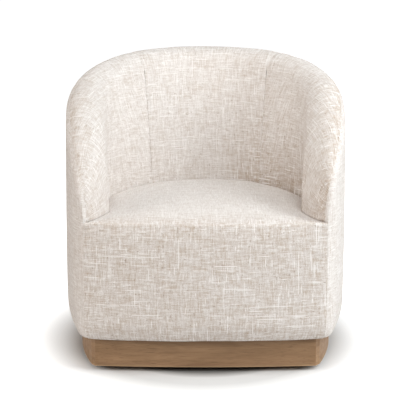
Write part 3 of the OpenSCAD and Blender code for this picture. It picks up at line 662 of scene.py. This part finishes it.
def slub_fabric():
    """Cream slub weave: fine threads both ways, thin pale slubs among them and short tan dashes."""
    g = Graph("slub_weave")
    u, v, vivid = g.split(g.attribute("weave"))
    ground, pale, tan, brown = rgb(214, 206, 200), rgb(247, 243, 240), rgb(180, 156, 133), rgb(146, 120, 96)

    def threads(run, across, pitch, length, seed):
        """Noise that runs along one thread, and is another one in the next thread."""
        lane = g.math("FLOOR", g.math("DIVIDE", across, pitch))
        place = g.node("CombineXYZ", {0: g.math("DIVIDE", run, length), 1: g.math("MULTIPLY", lane, 3.37),
                                      2: g.math("ADD", g.math("MULTIPLY", lane, 0.61), seed)})
        return g.noise(place, 1.0, 2.0, 0.6)

    def ridge(across, pitch):
        return g.math("ABSOLUTE", g.math("SINE", g.math("MULTIPLY", across, math.pi / pitch)))

    ways = ((u, v), (v, u))
    fine = [threads(run, across, THREAD, THREAD_RUN, 4.0 * k) for k, (run, across) in enumerate(ways)]
    speck = g.noise(g.attribute("weave"), SPECK_SCALE, 2.0, 0.7)
    tone = g.math("SUBTRACT", g.math("ADD", g.math("ADD", *fine), speck), TONE_MEAN)
    # Lower values make the cloth paler and higher ones darker: this carries painted light on the seat and
    # painted shade near the seat crease and the arms' rim seam
    paler = g.math("MULTIPLY", g.math("SUBTRACT", PLAIN_VIVID, vivid), QUIET_LIFT)
    tone = g.math("ADD", g.math("MULTIPLY", tone, vivid), paler)
    colour = g.blend(g.remap(tone, 0.0, 0.3), ground, pale)
    colour = g.blend(g.remap(tone, 0.0, -0.34), colour, tan)
    blotch = g.noise(g.attribute("weave"), BLOTCH_SCALE, 3.0, 0.6)
    colour = g.blend(g.math("MULTIPLY", g.remap(blotch, 0.5, 0.75, 0.0, 0.25), vivid), colour, tan)
    height = g.math("MULTIPLY", g.math("ADD", ridge(u, THREAD), ridge(v, THREAD)), 0.4)
    for k, (run, across) in enumerate(ways):
        dash = threads(run, across, DASH_PITCH, DASH_RUN, DASH_SEED + 4.0 * k)
        dash = g.remap(dash, 0.33, 0.27, 0.0, 0.8)
        colour = g.blend(g.math("MULTIPLY", dash, vivid), colour, brown)
        thick = threads(run, across, SLUB_PITCH, SLUB_RUNS[k], SLUB_SEED + 4.0 * k)
        thick = g.remap(thick, 0.63, 0.67, 0.0, 1.35)
        slub = g.math("MULTIPLY", thick, ridge(across, SLUB_PITCH))
        colour = g.blend(g.math("MULTIPLY", slub, vivid, clamp=True), colour, pale)
        height = g.math("ADD", height, slub)
    return g.set(Base_Color=colour, Roughness=0.92, Normal=g.bump(height, WEAVE_DEPTH, 0.6),
                 Sheen_Weight=0.12, Sheen_Roughness=0.5, Specular_IOR_Level=0.15)


# Painted highlight along the plinth's lower edge: its height and colour
LOW_EDGE_HIGHLIGHT_H = 0.004
EDGE_HIGHLIGHT_OAK = rgb(214, 180, 144)
RING_SCALE, RING_RUN = 70, 9
PORE_SCALE, PORE_RUN = 620, 18


def wood(name, light, dark, along_axis, rough, grain=1.0, low_edge=None, bent=None):
    """Grain along one axis or round the bend's radius, with pores, slow change and a painted highlight along
    the lower edge.
    """
    g = Graph(name)
    p = g.place()
    if bent is not None:
        x, y, z = g.split(p)
        round_bend = g.math("MULTIPLY", g.math("ARCTAN2", x, y), bent)
        from_axis = g.math("SQRT", g.math("ADD", g.math("POWER", x, 2.0), g.math("POWER", y, 2.0)))
        p = g.node("CombineXYZ", {0: round_bend, 1: from_axis, 2: z})
    stretch = [RING_SCALE * grain] * 3
    stretch[along_axis] = RING_RUN * grain
    rings = g.noise(g.scaled(p, tuple(stretch)), 1.0, 4.0, 0.6)
    fine = [PORE_SCALE * grain] * 3
    fine[along_axis] = PORE_RUN * grain
    pores = g.noise(g.scaled(p, tuple(fine)), 1.0, 2.0, 0.5)
    colour = g.blend(g.remap(rings, 0.2, 0.8), light, dark)
    speck = g.noise(g.scaled(p, tuple(c * 0.4 for c in fine)), 1.0, 3.0, 0.7)
    colour = g.blend(g.remap(speck, 0.42, 0.68, 0.0, 0.3), colour, dark)
    colour = g.blend(g.math("MULTIPLY", g.remap(pores, 0.56, 0.72), 0.5), colour, dimmed(dark, 0.45))
    colour = g.blend(g.remap(g.noise(p, 7.0), 0.35, 0.7, 0.0, 0.25), colour, dark)
    if low_edge is not None:
        # Painted highlight: paler oak within a few millimetres of the lower edge
        painted_edge_highlight = g.remap(g.split(p)[2], low_edge, low_edge + LOW_EDGE_HIGHLIGHT_H, 0.45, 0.0)
        colour = g.blend(painted_edge_highlight, colour, EDGE_HIGHLIGHT_OAK)
    return g.set(Base_Color=colour, Roughness=g.remap(rings, 0.3, 0.7, rough, rough + 0.12),
                 Normal=g.bump(g.math("ADD", rings, pores), 0.0002, 0.4), Specular_IOR_Level=0.4)


def metal(name, colour, rough, stretch=(60, 60, 900), dents=0.00005):
    """Bare metal with fine brushing."""
    g = Graph(name)
    brush = g.noise(g.scaled(g.place(), stretch), 1.0, 2.0, 0.5)
    return g.set(Base_Color=g.blend(g.remap(brush, 0.3, 0.7), colour, dimmed(colour, 0.8)),
                 Metallic=1.0, Roughness=g.remap(brush, 0.3, 0.7, rough, rough + 0.12),
                 Normal=g.bump(brush, dents, 0.5))


def coated(name, colour, rough, size=900.0):
    """Powder coat or moulded plastic: a fine orange peel and faint scuffs."""
    g = Graph(name)
    p = g.place()
    peel = g.noise(p, size, 1.0)
    scuffs = g.remap(g.noise(g.scaled(p, (30, 300, 90)), 1.0, 3.0), 0.6, 0.8)
    return g.set(Base_Color=g.blend(g.math("MULTIPLY", scuffs, 0.3), colour, rgb(90, 90, 90)),
                 Roughness=g.remap(scuffs, 0.0, 1.0, rough, rough + 0.15), Normal=g.bump(peel, 0.00008, 0.5))


def plain_cloth(name, colour, pitch):
    """Plain weave of one colour, for the hidden cloths."""
    g = Graph(name)
    lines = [g.math("SINE", g.math("MULTIPLY", o, 2 * math.pi / pitch)) for o in g.split(g.place())]
    grid = g.math("MULTIPLY", g.math("ADD", lines[0], lines[2]), g.math("ADD", lines[1], 1.2))
    speck = g.noise(g.place(), 500.0, 3.0)
    return g.set(Base_Color=g.blend(g.remap(speck, 0.35, 0.7), colour, dimmed(colour, 0.5)),
                 Roughness=0.95, Normal=g.bump(grid, pitch * 0.2, 0.6))


def plinth_oak(name="plinth_oak", bent=None):
    return wood(name, rgb(173, 137, 101), rgb(130, 99, 70), 0, 0.42,
                low_edge=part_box("plinth_front")[0].z, bent=bent)


upholstery = slub_fabric()
FINISHES = {
    "plinth_wood": plinth_oak(),
    "timber": wood("frame_timber", rgb(205, 172, 128), rgb(160, 122, 80), 0, 0.7),
    "plywood": wood("plywood", rgb(214, 186, 144), rgb(176, 140, 96), 1, 0.7, 0.7),
    "liner_board": wood("liner_board", rgb(160, 132, 100), rgb(128, 102, 74), 2, 0.9, 2.0),
    "disc": coated("black_coat", rgb(16, 16, 17), 0.5),
    "glide": coated("glide_plastic", rgb(40, 40, 42), 0.6, 1500.0),
    "zinc": metal("zinc_plate", rgb(190, 190, 186), 0.35),
    "screw": metal("screw_steel", rgb(176, 176, 172), 0.3),
    "brass_cage": metal("cage_brass", rgb(206, 170, 98), 0.3),
    "ball": metal("ball_steel", rgb(212, 212, 216), 0.08, (200, 200, 200), 0.00001),
    "spring_wire": metal("spring_steel", rgb(130, 130, 128), 0.4),
    "lining": plain_cloth("black_lining", rgb(34, 34, 36), 0.0016),
    "webbing": plain_cloth("webbing", rgb(58, 54, 50), 0.003),
}

for entry in frame["record"]["subparts"]:
    obj = frame["nodes"][entry["node"]]
    if entry["material_slot"] in FINISHES:
        obj.data.materials.clear()
        obj.data.materials.append(FINISHES[entry["material_slot"]])

bent_oak = plinth_oak("bent_plinth_oak", bent=BACK_R)
for side in ("left", "right"):
    frame["nodes"]["plinth_side_" + side].data.materials[0] = bent_oak


def flipped(spec):
    """The left-hand twin of a right-hand piece."""
    twin = dict(spec, name=spec["name"].replace("right", "left"), node=spec["node"].replace("right", "left"))
    twin.update(skin=spec["skin"] * [-1, 1, 1], weave=spec["weave"] * [-1, 1], out=-spec["out"],
                seed=spec["seed"] + 5, shift=(spec["shift"][0] + 1.7, spec["shift"][1] + 0.9))
    return twin


PLAIN_CONTRAST = 0.48
# Painted shade: a darker, more tan weave near the seat crease, on the right half of the inside back and the
# right inside arm
SEAT_LINE_Z, CREASE_SHADE_REACH = 0.43, 0.1
CREASE_SHADE_X, CREASE_SHADE_FADE_X = 0.02, 0.2
ROLL_CLEAR = 0.09
RUFFLES_FROM, RUFFLES_FADE_IN = 0.12, 0.3
SEAM_WEAVE_AND_SHADE_REACH = 0.06
SEAT_CALM_AND_LIGHT_REACH = 0.09
FRONT_RUFFLE_REACH = 0.16


def crease_painted_shade(skin):
    """Painted shade near the seat: how near each point of the inside lies to the seat, from 0 to 1."""
    return np.exp(-np.maximum(skin[..., 2] - SEAT_LINE_Z, 0) / CREASE_SHADE_REACH)


def build_covers():
    """All fabric panels. A ruffle gives its edge, height, fade, slant and share of the edge."""
    specs = []

    def add(name, node, grid, out, fill, cap, seams=("top", "start", "end"), pucker=0.0006,
            slack=-0.003, pressure=1.0, vivid=PLAIN_CONTRAST, groove=1.15, ruffles=()):
        specs.append(dict(name=name, node=node, skin=grid[0], weave=grid[1], out=out, fill=fill,
                          cap=cap, seams=seams, pucker=pucker, slack=slack, pressure=pressure,
                          vivid=vivid, groove=groove, ruffles=ruffles, seed=10 * len(specs) + 11,
                          shift=(2.3 * len(specs), 1.3 * len(specs))))

    split = BACK_R * OUTER_SPLIT_TURN
    back_q, back_foot = BACK_R * BACK_SEAM_TOP, BACK_R * BACK_SEAM_LOW
    add("outside_back_cover", "outside_back", outside_skin(-split, split), -1, 0.8, 0.003,
        pressure=0.3, slack=0)
    add("outside_arm_right_cover", "outside_arm_right",
        outside_skin(split + SEAM_GAP, SEAM_S - SEAM_GAP), -1, 0.8, 0.003, pressure=0.3, slack=0)
    specs.append(flipped(specs[-1]))
    back = inside_skin(-back_q, back_q, (-back_foot, INSIDE_FOOT_Z), (back_foot, INSIDE_FOOT_Z))
    # Painted shade: the right half of the inside back is darker and more tan near the seat
    right_shade_share = smooth((back[0][..., 0] - CREASE_SHADE_X) / CREASE_SHADE_FADE_X)
    add("inside_back_cover", "inside_back", back, 1, 0.8, 0.004,
        vivid=PLAIN_CONTRAST + 0.7 * crease_painted_shade(back[0]) * right_shade_share)
    arm = inside_skin(back_q + SEAM_GAP, SPINE_LEN + FOOT_LAP, (back_foot + SEAM_GAP, INSIDE_FOOT_Z),
                      (SEAM_S - FOOT_BACK_SHARE * WALL_T, FOOT_Z - FOOT_LAP), RUFFLE_PITCH)
    arm_share = smooth((along(arm[0], 1)[:1] - RUFFLES_FROM) / RUFFLES_FADE_IN)
    # Darker, stronger weave along the rim seam of the inside arms: partly the weave's hatch, partly painted
    # shade in the gathers
    seam_weave_and_shade = arm_share * np.exp(-along(arm[0], 0) / SEAM_WEAVE_AND_SHADE_REACH)
    # Painted shade: the right inside arm is darker and more tan low down near the seat
    low_inside_shade = crease_painted_shade(arm[0]) * smooth((along(arm[0], 0) - ROLL_CLEAR) / ROLL_CLEAR)
    add("inside_arm_right_cover", "inside_arm_right", arm, 1, 0.8, 0.0025, ("top", "start"),
        vivid=PLAIN_CONTRAST + 0.4 * seam_weave_and_shade + 0.4 * low_inside_shade,
        ruffles=(("top", 0.003, 0.08, 0.6, arm_share),))
    specs.append(flipped(specs[-1]))
    specs[-1].update(vivid=PLAIN_CONTRAST + 0.2 * seam_weave_and_shade,
                     ruffles=(("top", 0.002, 0.07, 0.6, arm_share),))
    seat = seat_skin()
    # The seat's weave turns calmer and paler back from its front edge: the paler tone is painted light on the
    # lit seat top
    seat_calm_and_light = mix(0.6, 0.4, smooth(along(seat[0], 0) / SEAT_CALM_AND_LIGHT_REACH))
    add("seat_cover", "seat_cushion", seat, -1, 0.9, 0.002, ("top",), vivid=seat_calm_and_light, groove=0.7)
    front = front_skin()
    high_share = smooth(1 - along(front[0], 0) / FRONT_RUFFLE_REACH)
    add("front_panel_cover", "front_panel", front, 1, 0.7, 0.003, vivid=0.64, groove=0.7,
        ruffles=(("start", 0.0026, 0.05, 0.25, high_share),
                 ("end", 0.0014, 0.035, 0.25, high_share)))
    billow(specs)
    for spec in specs:
        panel(spec)


build_covers()

# Stage: a wide floor and a sky, both white to the camera, and soft studio light from the right
FLOOR_R = 14.0
FLOOR_SQUEEZE = (1.3, 1, 1)
FLOOR_GLOW_FROM, FLOOR_GLOW_TO = 0.23, 0.49  # squares of the distance from the axis
# Painted shadow: the floor's own colour is darker grey near the chair, out to the first distance, and pale
# beyond the second
FLOOR_PAINTED_SHADOW_TO, FLOOR_PALE_FROM = 0.37, 0.42
FLOOR_PAINTED_SHADOW, FLOOR_PALE = rgb(138, 136, 134), rgb(216, 215, 214)
WORLD_LIGHT = 0.1
WORLD_COLOUR = (1.0, 0.9, 0.8, 1)
COOL = (0.925, 0.975, 1.0)
WARM = (1.0, 0.985, 0.965)
WARM_FILL = (1.0, 0.945, 0.89)
LAMP_TARGET = (0, 0, 0.4)
LAMPS = (  # name, place, side length, power and colour
    ("key_low", (3.0, -1.6, 1.7), 1.6, 54, COOL),
    ("key_high", (2.4, -1.0, 2.9), 1.6, 42, COOL),
    ("front", (0.6, -3.6, 2.2), 1.6, 31, WARM),
    ("top", (0.2, -1.2, 3.2), 2.0, 37, COOL),
    ("fill_low", (-3.0, -1.4, 1.4), 2.0, 43, WARM_FILL),
    ("fill_high", (-2.4, -1.2, 2.8), 2.0, 11, WARM_FILL),
    ("side", (3.4, 0.2, 1.2), 1.6, 18, COOL),
    ("back", (-0.8, 3.4, 2.2), 1.6, 24, COOL),
)


def white_stage():
    """Matt floor that keeps the chair's shadow, has a painted darker grey shadow under the chair, and turns
    plain white further out.
    """
    g = Graph("white_floor")
    camera = g.node("LightPath", out="Is Camera Ray")
    out_from = g.node("VectorMath", {0: g.scaled(g.place(), FLOOR_SQUEEZE)}, out="Value", operation="LENGTH")
    glow = g.remap(g.math("POWER", out_from, 2.0), FLOOR_GLOW_FROM, FLOOR_GLOW_TO)
    lift = g.node("Emission", {"Color": (1, 1, 1, 1), "Strength": g.math("MULTIPLY", camera, glow)})
    # Painted shadow: darker grey floor colour under the chair
    tone = g.blend(g.remap(out_from, FLOOR_PAINTED_SHADOW_TO, FLOOR_PALE_FROM), FLOOR_PAINTED_SHADOW, FLOOR_PALE)
    g.set(Base_Color=tone, Roughness=0.9, Specular_IOR_Level=0.0)
    both = g.node("AddShader", {0: g.shader.outputs[0], 1: lift})
    out = next(n for n in g.tree.nodes if n.type == "OUTPUT_MATERIAL")
    g.tree.links.new(both, out.inputs[0])
    return g.material


def add_floor():
    r = FLOOR_R
    mesh = bpy.data.meshes.new("floor")
    mesh.from_pydata([(-r, -r, 0), (r, -r, 0), (r, r, 0), (-r, r, 0)], [], [(0, 1, 2, 3)])
    floor = bpy.data.objects.new("floor", mesh)
    mesh.materials.append(white_stage())
    bpy.context.scene.collection.objects.link(floor)


def add_lamp(name, place, size, power, colour):
    light = bpy.data.lights.new(name, "AREA")
    light.shape = "RECTANGLE"
    light.size = light.size_y = size
    light.energy = power
    light.color = colour
    lamp = bpy.data.objects.new(name, light)
    lamp.location = place
    lamp.rotation_euler = (Vector(LAMP_TARGET) - Vector(place)).to_track_quat("-Z", "Y").to_euler()
    bpy.context.scene.collection.objects.link(lamp)


def add_world():
    """Sky that is white to the camera and in gloss, and a dim warm light on the object."""
    world = bpy.data.worlds.new("studio")
    world.use_nodes = True
    tree = world.node_tree
    background = tree.nodes["Background"]
    path = tree.nodes.new("ShaderNodeLightPath")
    seen = tree.nodes.new("ShaderNodeMath")
    seen.operation = "MAXIMUM"
    tree.links.new(path.outputs["Is Camera Ray"], seen.inputs[0])
    tree.links.new(path.outputs["Is Glossy Ray"], seen.inputs[1])
    strength = tree.nodes.new("ShaderNodeMapRange")
    strength.inputs["To Min"].default_value = WORLD_LIGHT
    strength.inputs["To Max"].default_value = 1.0
    tree.links.new(seen.outputs[0], strength.inputs["Value"])
    tree.links.new(strength.outputs[0], background.inputs["Strength"])
    tint = tree.nodes.new("ShaderNodeMix")
    tint.data_type = "RGBA"
    tree.links.new(seen.outputs[0], tint.inputs[0])
    tint.inputs[6].default_value = WORLD_COLOUR
    tint.inputs[7].default_value = (1, 1, 1, 1)
    tree.links.new(tint.outputs[2], background.inputs["Color"])
    bpy.context.scene.world = world


# Camera: fitted to the photograph's outline, in the 416 pixel frame
CAMERA_DISTANCE = 5.0
CAMERA_Z = 1.422
CAMERA_PITCH = math.radians(11.7)
FOCAL_PX = 1749
FRAME_PX = 416
CENTRE_PX = 205.5
SENSOR = 36.0


def add_camera():
    data = bpy.data.cameras.new("camera")
    data.sensor_width = SENSOR
    data.lens = FOCAL_PX / FRAME_PX * SENSOR
    data.shift_x = (FRAME_PX / 2 - CENTRE_PX) / FRAME_PX
    camera = bpy.data.objects.new("camera", data)
    camera.location = (0, -CAMERA_DISTANCE, CAMERA_Z)
    camera.rotation_euler = (math.pi / 2 - CAMERA_PITCH, 0, 0)
    bpy.context.scene.collection.objects.link(camera)
    bpy.context.scene.camera = camera


add_floor()
add_world()
for lamp_spec in LAMPS:
    add_lamp(*lamp_spec)
add_camera()
bpy.context.scene.view_settings.view_transform = "Standard"
